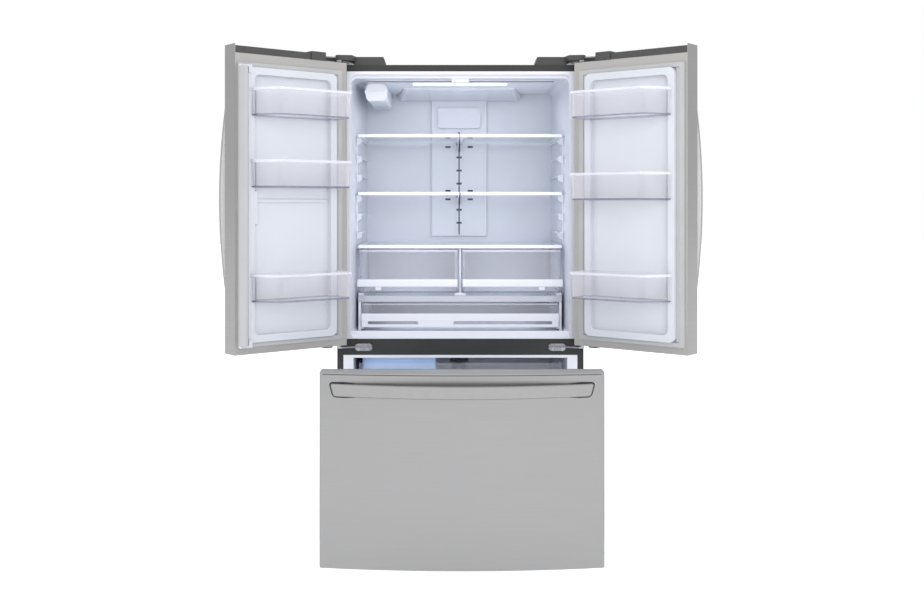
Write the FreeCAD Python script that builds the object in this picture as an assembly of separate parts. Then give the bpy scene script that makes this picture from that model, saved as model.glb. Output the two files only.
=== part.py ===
import FreeCAD, Part
import os

# A french door refrigerator: two hinged doors over one pull-out freezer drawer.
# Frame: +X right, +Z up, the front faces -Y. The origin is on the floor, under the
# middle of the box that the open appliance fills. Millimetres.
# Depth d is measured forward from the case's front plane, so it is negative inside.

# ---- driving dimensions -------------------------------------------------------------
CASE_WIDTH = 908.0
CASE_DEPTH = 737.0
CASE_TOP = 1737.0
CASE_BOTTOM = 40.0
SHEET = 1.0  # painted sheet steel of the case
FLANGE = 23.0  # front return of the case sides

DOOR_BOTTOM = 711.0
DOOR_THICKNESS = 79.0  # at the edges, before the crown
DOOR_CROWN = 25.0
DOOR_GAP = 10.0  # between the door's inner face and the case
DOOR_SPLIT = 6.0  # between the two doors
DOOR_OPEN = 141.0  # degrees
SKIN = 1.2
EDGE_RADIUS = 10.0
PIVOT_IN = 12.5  # hinge axis from the door's side
PIVOT_OUT = 28.0  # hinge axis from the door's inner face
PIN_RADIUS = 6.0
PIN_CLEARANCE = 0.05

DRAWER_BOTTOM = 68.0
DRAWER_TOP = 688.0
DRAWER_CROWN = 34.0
DRAWER_OPEN = 467.0

GASKET_WIDTH = 16.0
GASKET_DEPTH = DOOR_GAP - 0.4
BAND_SIDE = 27.0  # painted border of the door's inner face, hinge side
BAND_FREE = 10.0
BAND_TOP = 31.5  # below the cap
BAND_BOTTOM = 26.0
CAP_HEIGHT = 31.5
NOTCH_WIDTH = 91.0  # of the cap, from the hinge side, over the top hinge
CAP_BOSS = 60.0
DYKE_START = 57.0  # from the hinge side, clear of the mouth
DYKE_END = 39.0  # from the free side, clear of the flipper bar
DYKE_WIDTH = 24.0
DYKE_HEIGHT = 22.0
LINER = 2.5  # moulded sheet

HANDLE_WIDTH = 40.0
HANDLE_EDGE = 24.0  # from the door's free side to the strap
HANDLE_THICKNESS = 13.0
HANDLE_RISE = 61.0  # beyond the crown
HANDLE_LOW = 805.0
HANDLE_DROP = 91.5  # from the door's top to the handle's upper end
DRAWER_HANDLE_TOP = 655.0
DRAWER_HANDLE_RISE = 45.0
DRAWER_HANDLE_INSET = 49.0  # from the case's side

MULLION = (668.0, 728.0)
TOP_RAIL = 24.0
MOUTH_DEPTH = 22.0
SIDE_WALL = 52.0  # case side to the fresh food space, at its front
SIDE_WALL_REAR = 64.0
CEILING_WALL = 47.0
BACK_WALL = 137.0
FREEZER_WALL = 60.0
FREEZER_BACK_WALL = 97.0
FRIDGE_FLOOR = 740.0
MOUTH_LOW = 731.0
MOUTH_DROP = 35.0  # from the case's top
CAVITY_RADIUS = 18.0
FREEZER_FLOOR = 110.0
FREEZER_CEILING = 658.0
MACHINE_HEIGHT = 320.0
MACHINE_DEPTH = 267.0

SHELF_FRONT = -135.0
SHELF_BACK_GAP = 40.0
SHELF_PLAY = 2.0
SHELF_TOPS = (1490.5, 1270.0)
SHELF_TRIM = 11.0
GLASS = 4.0
SHELF_BORDER = 13.0
RIB_PITCH = 71.0
CRISPER_COVER_TOP = 1068.0
CRISPER = (886.0, 1049.0)
PANTRY_LID = (852.0, 875.0)
PANTRY = (756.0, 845.0)
PANTRY_INSET = 12.0  # from the shelves' ends
BIN_WALL = 3.0
FRONT_STRIP = 12.0  # how far a drawer's handle strip stands forward

BIN_HEIGHT = 95.0
BIN_REACH = 125.0
BIN_CORNER = 103.0  # from the door's free side to where the front turns in
LEFT_BINS = (1524.0, 1280.0, 891.0)
RIGHT_BINS = (1526.0, 1238.0, 891.0)

FLIPPER_WIDTH = 43.0
FLIPPER_THICKNESS = 14.0
FLIPPER_BELOW = 10.0  # pivot to the bar's short end, and to the door's free edge
FLIPPER_END = 44.0

DRAWER_PANEL = 14.0  # how far the drawer's inner panel stands back from its inner face
TRAY = (548.0, 630.0)
TRAY_GAP = 14.0  # to the freezer's side
TRAY_BACK_GAP = 80.0
RAIL_LENGTH = 500.0
RAIL = (356.0, 396.0)
RAIL_PLAY = 0.4
RAIL_SHEET = 5.0

LEG_INSET = 54.0
LEG_D = -60.0
ROLLER_INSET = 37.0
ROLLER_RADIUS = 20.0
AXLE_RADIUS = 4.0

HALF = CASE_WIDTH / 2
DOOR_WIDTH = HALF - DOOR_SPLIT / 2
DOOR_TOP = CASE_TOP + CAP_HEIGHT
HANDLE_HIGH = DOOR_TOP - HANDLE_DROP
DRAWER_HANDLE_HALF = HALF - DRAWER_HANDLE_INSET
FRIDGE_FRONT_HALF = HALF - SIDE_WALL
FRIDGE_REAR_HALF = HALF - SIDE_WALL_REAR
FRIDGE_CEILING = CASE_TOP - CEILING_WALL
FRIDGE_DEPTH = CASE_DEPTH - BACK_WALL
MOUTH = (MOUTH_LOW, CASE_TOP - MOUTH_DROP)
FREEZER_HALF = HALF - FREEZER_WALL
FREEZER_DEPTH = CASE_DEPTH - FREEZER_BACK_WALL
SHELF_REAR = SHELF_BACK_GAP - FRIDGE_DEPTH
SHELF_HALF = FRIDGE_REAR_HALF - SHELF_PLAY
PANTRY_HALF = SHELF_HALF - PANTRY_INSET
TRAY_HALF = FREEZER_HALF - TRAY_GAP
TRAY_REAR = TRAY_BACK_GAP - FREEZER_DEPTH
LEG_X = HALF - LEG_INSET
ROLLER_D = ROLLER_INSET - CASE_DEPTH
DRAWER_REACH = DRAWER_OPEN + DOOR_GAP + DOOR_THICKNESS + DRAWER_CROWN + DRAWER_HANDLE_RISE
FRONT_Y = (DRAWER_REACH - CASE_DEPTH) / 2
PIVOT_X = HALF - PIVOT_IN
PIVOT_D = DOOR_GAP + PIVOT_OUT
UP = FreeCAD.Vector(0, 0, 1)

os.makedirs("parts", exist_ok=True)


# ---- helpers ------------------------------------------------------------------------
def point(x, d, z):
    return FreeCAD.Vector(x, FRONT_Y - d, z)


def block(x, d, z):
    """A box between three pairs: across, forward depth and height."""
    low = point(min(x), max(d), min(z))
    return Part.makeBox(abs(x[1] - x[0]), abs(d[1] - d[0]), abs(z[1] - z[0]), low)


def fuse(*shapes):
    whole = shapes[0].fuse(list(shapes[1:])) if len(shapes) > 1 else shapes[0]
    return whole.removeSplitter()


def group(*shapes):
    return Part.makeCompound(list(shapes))


def mirrored(shape):
    return shape.mirror(FreeCAD.Vector(0, 0, 0), FreeCAD.Vector(1, 0, 0))


def pair(shape):
    """The same piece on the right and on the left."""
    return group(shape, mirrored(shape))


def rounded(shape, axis, radius):
    """Fillets every straight edge that runs along one axis."""
    along = {"x": FreeCAD.Vector(1, 0, 0), "y": FreeCAD.Vector(0, 1, 0), "z": UP}[axis]
    edges = []
    for edge in shape.Edges:
        run = edge.Vertexes[-1].Point - edge.Vertexes[0].Point
        if run.Length > 0 and abs(run.normalize().dot(along)) > 0.999:
            edges.append(edge)
    return shape.makeFillet(radius, edges)


def prism(outline, z):
    """Extrudes a plan outline of (x, d) points upwards."""
    wire = Part.makePolygon([point(x, d, z[0]) for x, d in outline + outline[:1]])
    return Part.Face(wire).extrude(UP * (z[1] - z[0]))


def side_prism(outline, x):
    """Extrudes an outline of (d, z) points across the appliance."""
    wire = Part.makePolygon([point(x[0], d, z) for d, z in outline + outline[:1]])
    return Part.Face(wire).extrude(FreeCAD.Vector(x[1] - x[0], 0, 0))


def upright(radius, x, d, z):
    return Part.makeCylinder(radius, z[1] - z[0], point(x, d, z[0]), UP)


def crossways(radius, x, d, z):
    axis = FreeCAD.Vector(1, 0, 0)
    return Part.makeCylinder(radius, x[1] - x[0], point(x[0], d, z), axis)


def forward(radius, x, d, z):
    """A cylinder along the depth."""
    axis = FreeCAD.Vector(0, -1, 0)
    return Part.makeCylinder(radius, max(d) - min(d), point(x, min(d), z), axis)


def frame_ring(outer, inner, d):
    """A flat ring facing forward between two (x0, x1, z0, z1) rectangles."""
    hole = block(inner[:2], (d[0] - 1, d[1] + 1), inner[2:])
    return block(outer[:2], d, outer[2:]).cut(hole)


def tray(x, d, z, wall, floor):
    """An open-topped box with rounded upright corners."""
    body = rounded(block(x, d, z), "z", 4 * wall)
    inside_x = (min(x) + wall, max(x) - wall)
    inside_d = (min(d) + wall, max(d) - wall)
    room = rounded(block(inside_x, inside_d, (z[0] + floor, z[1] + 1)), "z", 3 * wall)
    return body.cut(room)


def save(name, shape):
    shape.exportStep("parts/" + name + ".step")


# ---- case ---------------------------------------------------------------------------
def rounded_wire(half, z, d, radius):
    side = block((-half, half), (d - 1, d), z)
    solid = rounded(side, "y", radius)
    front = max(solid.Faces, key=lambda face: -face.CenterOfMass.y)
    return front.OuterWire


def cavity(grow, grow_depth):
    """The fresh food space, a little narrower at the back, with its stepped mouth."""
    z = (FRIDGE_FLOOR - grow, FRIDGE_CEILING + grow)
    radius = CAVITY_RADIUS + grow
    front = rounded_wire(FRIDGE_FRONT_HALF + grow, z, 0, radius)
    rear = rounded_wire(FRIDGE_REAR_HALF + grow, z, -FRIDGE_DEPTH - grow_depth, radius)
    room = Part.makeLoft([front, rear], True, True)
    mouth_z = (MOUTH[0] - grow, MOUTH[1] + grow)
    mouth_d = (-MOUTH_DEPTH - grow, 0)
    mouth_half = FRIDGE_FRONT_HALF + grow
    mouth = rounded(block((-mouth_half, mouth_half), mouth_d, mouth_z), "y", radius)
    return room.fuse(mouth)


def freezer_room(grow):
    """The freezer space, stepped over the machine compartment."""
    step = CASE_DEPTH - MACHINE_DEPTH - 40
    floor = FREEZER_FLOOR - grow
    shelf = MACHINE_HEIGHT + 20 - grow
    rear = -FREEZER_DEPTH - grow
    top = FREEZER_CEILING + grow
    outline = [(0, floor), (-step - grow, floor), (-step - grow - 20, shelf)]
    outline += [(rear, shelf), (rear, top), (0, top)]
    half = FREEZER_HALF + grow
    return side_prism(outline, (-half, half))


def build_case():
    open_half = HALF - FLANGE
    outer = block((-HALF, HALF), (-CASE_DEPTH, 0), (CASE_BOTTOM, CASE_TOP))
    inside = block(
        (SHEET - HALF, HALF - SHEET),
        (-CASE_DEPTH - 1, -SHEET),
        (CASE_BOTTOM - 1, CASE_TOP - SHEET),
    )
    opening = block((-open_half, open_half), (-9, 1), (CASE_BOTTOM - 1, CASE_TOP - SHEET))
    save("cabinet_shell", outer.cut(inside).cut(opening))

    back = block(
        (SHEET - HALF, HALF - SHEET),
        (-CASE_DEPTH, SHEET - CASE_DEPTH),
        (MACHINE_HEIGHT + 2, CASE_TOP - SHEET),
    )
    cover = block((-HALF + 4, HALF - 4), (-CASE_DEPTH, 1.5 - CASE_DEPTH), (62, MACHINE_HEIGHT))
    for row in range(9):
        for column in (-2, -1, 0, 1, 2):
            z = 95 + 22 * row
            slot_x = (170 * column - 65, 170 * column + 65)
            cover = cover.cut(block(slot_x, (-CASE_DEPTH - 1, 3 - CASE_DEPTH), (z, z + 8)))
    gland = forward(11, HALF - 27, (-CASE_DEPTH, 14 - CASE_DEPTH), 80)
    cover = cover.fuse(gland).removeSplitter()
    save("rear_covers", group(back, cover))

    top_rail = block(
        (-open_half, open_half), (-20, 0), (CASE_TOP - TOP_RAIL, CASE_TOP - SHEET)
    )
    mullion = block((-open_half, open_half), (-30, 0), MULLION)
    save("front_rails", group(top_rail, mullion))

    room = cavity(0, 0)
    liner_z = (MULLION[1], CASE_TOP - TOP_RAIL)
    flange = block((-open_half, open_half), (-LINER, 0), liner_z)
    shell = cavity(LINER, LINER).fuse(flange).cut(room)
    dam_half = FRIDGE_FRONT_HALF - 1
    dam = block((-dam_half, dam_half), (-MOUTH_DEPTH - 8, -MOUTH_DEPTH), (MOUTH[0] - 1, 754))
    ribs = []
    for top in SHELF_TOPS:
        for step in range(3):
            z = top - SHELF_TRIM - RIB_PITCH * step
            outline = [(SHELF_FRONT - 20, z), (SHELF_REAR, z), (SHELF_REAR, z - 9)]
            outline += [(SHELF_FRONT - 45, z - 9)]
            wall = FRIDGE_FRONT_HALF + 1
            rib = side_prism(outline, (SHELF_HALF - 7, wall))
            ribs += [rib, mirrored(rib)]
    trimmed = [rib.common(room) for rib in ribs]
    save("fridge_liner", shell.fuse([dam.common(room)] + trimmed).removeSplitter())

    freezer_flange = block((-open_half, open_half), (-LINER, 0), (DRAWER_BOTTOM, MULLION[0]))
    freezer_shell = freezer_room(LINER).fuse(freezer_flange).cut(freezer_room(0))
    ledge_z = (TRAY[0] - 8, TRAY[0] - RAIL_PLAY)
    ledge = block((TRAY_HALF - 12, FREEZER_HALF + 1), (TRAY_REAR, -12), ledge_z)
    save("freezer_liner", freezer_shell.fuse([ledge, mirrored(ledge)]).removeSplitter())

    foam = block(
        (SHEET - HALF, HALF - SHEET),
        (SHEET - CASE_DEPTH, -LINER),
        (DRAWER_BOTTOM, CASE_TOP - SHEET),
    )
    machine = block(
        (-HALF, HALF), (-CASE_DEPTH, MACHINE_DEPTH - CASE_DEPTH), (0, MACHINE_HEIGHT + 2)
    )
    for piece in (cavity(LINER, LINER), freezer_room(LINER), top_rail, mullion, machine):
        foam = foam.cut(piece)
    save("insulation_foam", foam)


def build_base():
    pan = block((SHEET - HALF, HALF - SHEET), (SHEET - CASE_DEPTH, -LINER), (60, 62))
    channel = block((LEG_X - 25, LEG_X + 25), (12 - CASE_DEPTH, -30), (CASE_BOTTOM, 60))
    leg_hole = upright(PIN_RADIUS + PIN_CLEARANCE, LEG_X, LEG_D, (CASE_BOTTOM - 1, 61))
    channel = channel.cut(leg_hole)
    wheel_well = block((LEG_X - 10, LEG_X + 10), (ROLLER_D - 24, ROLLER_D + 24), (30, 60))
    channel = channel.cut(wheel_well)
    cheeks = []
    for x in (LEG_X - 14, LEG_X + 10):
        cheek = block((x, x + 4), (ROLLER_D - 14, ROLLER_D + 14), (10, CASE_BOTTOM))
        bore = crossways(AXLE_RADIUS + PIN_CLEARANCE, (x - 1, x + 5), ROLLER_D, ROLLER_RADIUS)
        cheeks.append(cheek.cut(bore))
    side = fuse(channel, *cheeks)
    save("base_frame", fuse(pan, side, mirrored(side)))

    wheel = crossways(ROLLER_RADIUS, (LEG_X - 8, LEG_X + 8), ROLLER_D, ROLLER_RADIUS)
    axle = crossways(AXLE_RADIUS, (LEG_X - 16, LEG_X + 16), ROLLER_D, ROLLER_RADIUS)
    save("rear_rollers", pair(fuse(wheel, axle)))

    foot = upright(20, LEG_X, LEG_D, (0, 8))
    nut = upright(11, LEG_X, LEG_D, (8, 18))
    stem = upright(PIN_RADIUS, LEG_X, LEG_D, (18, 59))
    leg = fuse(foot, nut, stem)
    save("leveling_leg_right", leg)
    save("leveling_leg_left", mirrored(leg))

    grille = block((-HALF + 12, HALF - 12), (-30, -22), (14, 59))
    slots = int((HALF - 36) // 22)
    for column in range(-slots, slots + 1):
        x = 22.0 * column
        grille = grille.cut(block((x - 7, x + 7), (-31, -21), (24, 50)))
    save("base_grille", grille)


def build_machine():
    d = MACHINE_DEPTH / 2 - CASE_DEPTH
    can = fuse(
        upright(78, 230, d, (82, 205)),
        Part.makeSphere(78, point(230, d, 205)).common(
            block((150, 310), (d - 80, d + 80), (205, 250))
        ),
    )
    feet = block((150, 310), (d - 95, d + 95), (76, 82))
    mounts = [
        upright(9, x, d + side, (62, 76)) for x in (165, 295) for side in (-80, 80)
    ]
    save("compressor", group(fuse(can, feet), *mounts))

    fins = []
    for row in range(5):
        z = 105 + 36 * row
        tube = crossways(5, (-390, -180), d, z)
        fins.append(tube)
    for column in range(13):
        x = -375 + 15.0 * column
        fins.append(block((x, x + 1), (d - 60, d + 60), (62, 280)))
    save("condenser_coil", fuse(*fins))

    hub = crossways(18, (-60, -30), d, 170)
    blades = []
    for turn in range(5):
        blade = block((-50, -44), (d - 17, d + 17), (180, 250))
        blade.rotate(point(0, d, 170), FreeCAD.Vector(1, 0, 0), 72 * turn)
        blades.append(blade)
    save("condenser_fan", fuse(hub, *blades).cut(crossways(4.05, (-61, -39), d, 170)))

    cold_d = -FREEZER_DEPTH + 22
    core = []
    for row in range(4):
        core.append(crossways(4, (-250, 250), cold_d, 385 + 32 * row))
    for column in range(21):
        x = -240 + 24.0 * column
        core.append(block((x, x + 1), (-FREEZER_DEPTH, cold_d + 18), (366, 500)))
    save("evaporator", fuse(*core))

    fan_z = 560
    fan_hub = forward(14, 0, (cold_d - 4, cold_d + 12), fan_z)
    vanes = []
    for turn in range(5):
        vane = block((-11, 11), (cold_d, cold_d + 4), (fan_z + 8, fan_z + 44))
        vane.rotate(point(0, cold_d, fan_z), FreeCAD.Vector(0, 1, 0), 72 * turn)
        vanes.append(vane)
    bore = forward(3.05, 0, (cold_d - 5, cold_d + 5), fan_z)
    save("evaporator_fan", fuse(fan_hub, *vanes).cut(bore))
    return d, cold_d, fan_z


def build_interior(machine_d, cold_d, fan_z):
    rear = -FRIDGE_DEPTH
    ceiling = FRIDGE_CEILING
    duct = rounded(block((-118, 118), (rear, rear + 16), (1090, ceiling - 14)), "z", 6)
    vent_z = (ceiling - 146, ceiling - 61)
    vent = rounded(block((-89, 89), (rear + 16, rear + 30), vent_z), "y", 12)
    duct = duct.fuse(vent)
    for top in SHELF_TOPS:
        for z in (top + 7, top - 29):
            for side in (-47, 47):
                slot_x = (side - 11, side + 11)
                duct = duct.cut(block(slot_x, (rear + 4, rear + 17), (z, z + 8)))
    ladder_z = (1092, vent_z[0] - 8)
    ladder = block((-11.5, 11.5), (rear + 16, rear + 21), ladder_z)
    for step in range(int((ladder_z[1] - ladder_z[0] - 24) // 21)):
        z = 1104 + 21.0 * step
        for side in (-6, 6):
            slot_x = (side - 2.2, side + 2.2)
            ladder = ladder.cut(block(slot_x, (rear + 18, rear + 22), (z, z + 12)))
    cover_d = cold_d + 24
    cold_z = (MACHINE_HEIGHT + 20, FREEZER_CEILING)
    cold_cover = block((6 - FREEZER_HALF, FREEZER_HALF - 6), (cover_d, cover_d + 4), cold_z)
    cold_cover = cold_cover.cut(forward(40, 0, (cover_d - 1, cover_d + 5), fan_z))
    for row in range(4):
        z = 366 + 24.0 * row
        cold_cover = cold_cover.cut(block((-200, 200), (cover_d - 1, cover_d + 5), (z, z + 8)))
    spindle = forward(3, 0, (-FREEZER_DEPTH, cold_d + 3), fan_z)
    motor_arm = block((-90, -65), (machine_d - 20, machine_d + 20), (62, 190))
    motor = crossways(22, (-96, -62), machine_d, 170)
    shaft = crossways(4, (-62, -41), machine_d, 170)
    motor_part = fuse(motor_arm, motor, shaft)
    save("air_duct_cover", group(duct, ladder, cold_cover, spindle, motor_part))

    panel_z = (ceiling - 6, ceiling)
    panel_half = FRIDGE_REAR_HALF - 35
    panel_d = (rear + 80, -88)
    panel = rounded(block((-panel_half, panel_half), panel_d, panel_z), "z", 20)
    panel = panel.cut(block((-180, 180), (-172, -146), (ceiling - 7, ceiling - 2)))
    guide = block((-32, 32), (-60, -32), (ceiling - 14, ceiling))
    funnel_rear = rear + 40
    slope = [(-300, ceiling - 6), (funnel_rear, ceiling - 30), (funnel_rear, ceiling - 6)]
    funnel = side_prism(slope, (-118, 118))
    save("ceiling_panel", group(fuse(panel, funnel), guide))
    save("light_lens", block((-178, 178), (-171, -147), (ceiling - 10, ceiling - 2)))

    filter_x = 70 - FRIDGE_REAR_HALF
    front = -142
    axis_z = ceiling - 40
    housing_x = (filter_x - 40, filter_x + 40)
    housing = rounded(
        block(housing_x, (rear + 40, front), (ceiling - 70, ceiling - 6)), "y", 14
    )
    save("filter_housing", housing.cut(forward(24, filter_x, (-325, front + 1), axis_z)))
    barrel = forward(23.9, filter_x, (-323, front + 1), axis_z)
    stub = forward(20, filter_x, (front + 1, front + 2), axis_z)
    corners = [(43, 2), (27, 33), (-27, 33), (-43, 2), (-31, -33), (31, -33)]
    places = [point(filter_x + x, front + 2, axis_z + z) for x, z in corners + corners[:1]]
    knob = Part.Face(Part.makePolygon(places)).extrude(FreeCAD.Vector(0, -12, 0))
    grip = block((filter_x - 30, filter_x + 30), (front + 14, front + 20), (axis_z - 3, axis_z + 3))
    save("filter_cartridge", fuse(barrel, stub, knob, grip))


def shelf_half(top):
    """The right half of a shelf: rim, and the cantilever arm that hooks on the ladder."""
    z = (top - SHELF_TRIM, top)
    rim = block((3, SHELF_HALF), (SHELF_REAR, SHELF_FRONT), z)
    pane_x = (3 + SHELF_BORDER, SHELF_HALF - SHELF_BORDER)
    pane_d = (SHELF_REAR + SHELF_BORDER, SHELF_FRONT - SHELF_BORDER)
    rim = rim.cut(block(pane_x, pane_d, (z[0] - 1, z[1] + 1)))
    outline = [(SHELF_FRONT - 60, z[0]), (4 + 21 - FRIDGE_DEPTH, z[0])]
    outline += [(25 - FRIDGE_DEPTH, z[0] - 38), (SHELF_FRONT - 60, z[0] - 6)]
    arm = side_prism(outline, (4, 7))
    hook = block((4, 7), (18 - FRIDGE_DEPTH, 25 - FRIDGE_DEPTH), (z[0] - 24, z[0] - 8))
    pane = block(pane_x, pane_d, (top - GLASS - 1, top - 1))
    return rim.fuse([arm, hook]), pane


def build_shelves():
    panes = []
    for name, top in zip(("shelf_upper", "shelf_lower"), SHELF_TOPS):
        half, pane = shelf_half(top)
        half = half.cut(block((-12, 12), (16 - FRIDGE_DEPTH, 21 - FRIDGE_DEPTH), (0, 2 * top)))
        save(name, pair(half.removeSplitter()))
        panes += [pane, mirrored(pane)]

    cover_z = (CRISPER_COVER_TOP - 12, CRISPER_COVER_TOP)
    rear = -FRIDGE_DEPTH
    cover = block((-SHELF_HALF, SHELF_HALF), (rear + 20, SHELF_FRONT), cover_z)
    pane_x = (-SHELF_HALF + 16, SHELF_HALF - 16)
    pane_d = (rear + 36, SHELF_FRONT - 16)
    cover = cover.cut(block(pane_x, pane_d, (cover_z[0] - 1, cover_z[1] + 1)))
    panes.append(block(pane_x, pane_d, (cover_z[1] - GLASS - 1, cover_z[1] - 1)))

    lid = block((-SHELF_HALF, SHELF_HALF), (rear + 20, SHELF_FRONT), PANTRY_LID)
    hole_x = (-SHELF_HALF + 30, SHELF_HALF - 30)
    hole_d = (rear + 50, SHELF_FRONT - 22)
    lid = lid.cut(block(hole_x, hole_d, (PANTRY_LID[0] - 1, PANTRY_LID[1] + 1)))
    panes.append(block(hole_x, hole_d, (PANTRY_LID[1] - GLASS - 1, PANTRY_LID[1] - 1)))
    post_z = (PANTRY_LID[1], CRISPER[0] - 0.5)
    runner_x = (SHELF_HALF - 22, SHELF_HALF)
    runner = block(runner_x, (rear + 30, SHELF_FRONT - 12), post_z)
    side_d = (rear + 30, SHELF_FRONT - 8)
    foot = block((PANTRY_HALF + 2, SHELF_HALF), side_d, (FRIDGE_FLOOR, PANTRY_LID[0]))
    ledge_z = (PANTRY[0] - 8, PANTRY[0] - RAIL_PLAY)
    foot = foot.fuse(block((PANTRY_HALF - 10, PANTRY_HALF + 3), side_d, ledge_z))
    middle = block((-22, 22), (rear + 30, SHELF_FRONT - 14), post_z)
    wall = block((-2.5, 2.5), (rear + 30, SHELF_FRONT - 14), (post_z[1], cover_z[0]))
    frame = [cover, lid, middle, wall]
    for piece in (runner, foot, cover_post()):
        frame += [piece, mirrored(piece)]
    save("crisper_frame", group(*[piece.common(cavity(0, 0)) for piece in frame]))
    save("shelf_glass", group(*panes))


def cover_post():
    """The right rear post that carries the crisper cover, behind the crispers."""
    z = (PANTRY_LID[1], CRISPER_COVER_TOP - 12)
    return block((SHELF_HALF - 30, SHELF_HALF - 10), (22 - FRIDGE_DEPTH, 30 - FRIDGE_DEPTH), z)


def build_crispers():
    x = (8, SHELF_HALF - 2)
    d = (35 - FRIDGE_DEPTH, SHELF_FRONT)
    bin_shape = tray(x, d, CRISPER, BIN_WALL, BIN_WALL)
    lip = block((10, SHELF_HALF - 4), (SHELF_FRONT, SHELF_FRONT + 5), (1041, CRISPER[1]))
    bin_shape = bin_shape.fuse(lip).removeSplitter()
    strip_d = (SHELF_FRONT, SHELF_FRONT + FRONT_STRIP)
    strip = rounded(block((10, SHELF_HALF + 2), strip_d, (909, 938)), "x", 4)
    groove_x = (60, SHELF_HALF - 50)
    strip = strip.cut(block(groove_x, (SHELF_FRONT - 1, SHELF_FRONT + 8), (908, 926)))
    slider_d = (SHELF_FRONT + 0.4, SHELF_FRONT + 8)
    slider_x = (SHELF_HALF - 88, SHELF_HALF - 66)
    slider = rounded(block(slider_x, slider_d, (897, 908.6)), "y", 3)
    for side, turn in (("right", lambda shape: shape), ("left", mirrored)):
        save("crisper_" + side, turn(bin_shape))
        save("crisper_" + side + "_front", turn(strip))
        save("humidity_slider_" + side, turn(slider))

    pantry_x = (-PANTRY_HALF, PANTRY_HALF)
    pantry = tray(pantry_x, d, PANTRY, BIN_WALL, BIN_WALL)
    save("pantry_drawer", pantry)
    face_d = (SHELF_FRONT, SHELF_FRONT + FRONT_STRIP)
    face = rounded(block(pantry_x, face_d, (765, 808)), "x", 4)
    slot_end = PANTRY_HALF - 22
    for slot_x in ((-slot_end, -34), (34, slot_end)):
        face = face.cut(block(slot_x, (SHELF_FRONT - 1, SHELF_FRONT + 9), (764, 779)))
    lower = block(pantry_x, (SHELF_FRONT, SHELF_FRONT + 6), (PANTRY[0], 765))
    save("pantry_drawer_front", face.fuse(lower).removeSplitter())


# ---- doors --------------------------------------------------------------------------
def crowned(half_width, z, thickness, crown, back):
    """A door-shaped solid: flat back, sides and a bowed front, with soft upright edges."""
    left = point(-half_width, back + thickness, z[0])
    right = point(half_width, back + thickness, z[0])
    bow = Part.Arc(left, point(0, back + thickness + crown, z[0]), right).toShape()
    side_r = Part.makeLine(right, point(half_width, back, z[0]))
    rear = Part.makeLine(point(half_width, back, z[0]), point(-half_width, back, z[0]))
    side_l = Part.makeLine(point(-half_width, back, z[0]), left)
    solid = Part.Face(Part.Wire([bow, side_r, rear, side_l])).extrude(UP * (z[1] - z[0]))
    front = []
    for edge in solid.Edges:
        middle = edge.CenterOfMass
        on_front = abs(FRONT_Y - middle.y - back - thickness) < 0.01
        if on_front and abs(abs(middle.x) - half_width) < 0.01:
            front.append(edge)
    return solid.makeFillet(EDGE_RADIUS, front)


def door_solid(inset, z):
    """The right door's body, less a skin thickness all round."""
    half_width = DOOR_WIDTH / 2 - inset
    solid = crowned(half_width, z, DOOR_THICKNESS - inset, DOOR_CROWN, DOOR_GAP)
    solid.translate(FreeCAD.Vector(HALF - DOOR_WIDTH / 2, 0, 0))
    return solid


def leaf(u, v, z):
    """A box in door places: u from the hinge side, v forward from the inner face."""
    return block((HALF - u[0], HALF - u[1]), (DOOR_GAP + v[0], DOOR_GAP + v[1]), z)


def swing(shape):
    turned = shape.copy()
    turned.rotate(point(PIVOT_X, PIVOT_D, 0), UP, DOOR_OPEN)
    return turned


def door_skin(notch):
    z = (DOOR_BOTTOM, DOOR_TOP)
    skin = door_solid(0, z).cut(door_solid(SKIN, (z[0] - 1, z[1] + 1)))
    skin = skin.cut(leaf((SKIN, DOOR_WIDTH - SKIN), (-1, SKIN + 1), (z[0] - 1, z[1] + 1)))
    cap_z = DOOR_TOP - CAP_HEIGHT
    edge = leaf((SKIN, DOOR_WIDTH - SKIN), (0, SKIN), (z[0], cap_z))
    hole_z = (z[0] + BAND_BOTTOM, cap_z - BAND_TOP)
    hole = leaf((BAND_SIDE, DOOR_WIDTH - BAND_FREE), (-1, SKIN + 1), hole_z)
    return skin.fuse(edge.cut(hole)).cut(notch).removeSplitter()


def door_caps(notch):
    cap_z = (DOOR_TOP - CAP_HEIGHT, DOOR_TOP - 7)
    top = door_solid(SKIN, cap_z).cut(leaf((-1, DOOR_WIDTH + 1), (-1, 0.01), (0, 2000)))
    boss_u = (NOTCH_WIDTH, NOTCH_WIDTH + CAP_BOSS)
    boss = leaf(boss_u, (-4, 60), (cap_z[0] + 1, DOOR_TOP - 1))
    socket_leaf = ((SKIN, 46), (SKIN, 46))
    top = fuse(top, leaf(*socket_leaf, (cap_z[0] - 30, cap_z[0])), boss)
    bottom = door_solid(SKIN, (DOOR_BOTTOM, DOOR_BOTTOM + 6))
    bottom = bottom.cut(leaf((-1, DOOR_WIDTH + 1), (-1, SKIN), (0, 2000)))
    bottom = fuse(bottom, leaf(*socket_leaf, (DOOR_BOTTOM + 6, DOOR_BOTTOM + 34)))
    stop = leaf((58, 90), (4, 34), (DOOR_BOTTOM - 5, DOOR_BOTTOM))
    radius = PIN_RADIUS + PIN_CLEARANCE
    bores = upright(radius, PIVOT_X, PIVOT_D, (cap_z[0] - 27, DOOR_TOP + 1))
    low_bore = upright(radius, PIVOT_X, PIVOT_D, (DOOR_BOTTOM - 1, DOOR_BOTTOM + 30))
    return top.cut(notch).cut(bores), fuse(bottom, stop).cut(low_bore)


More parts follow.
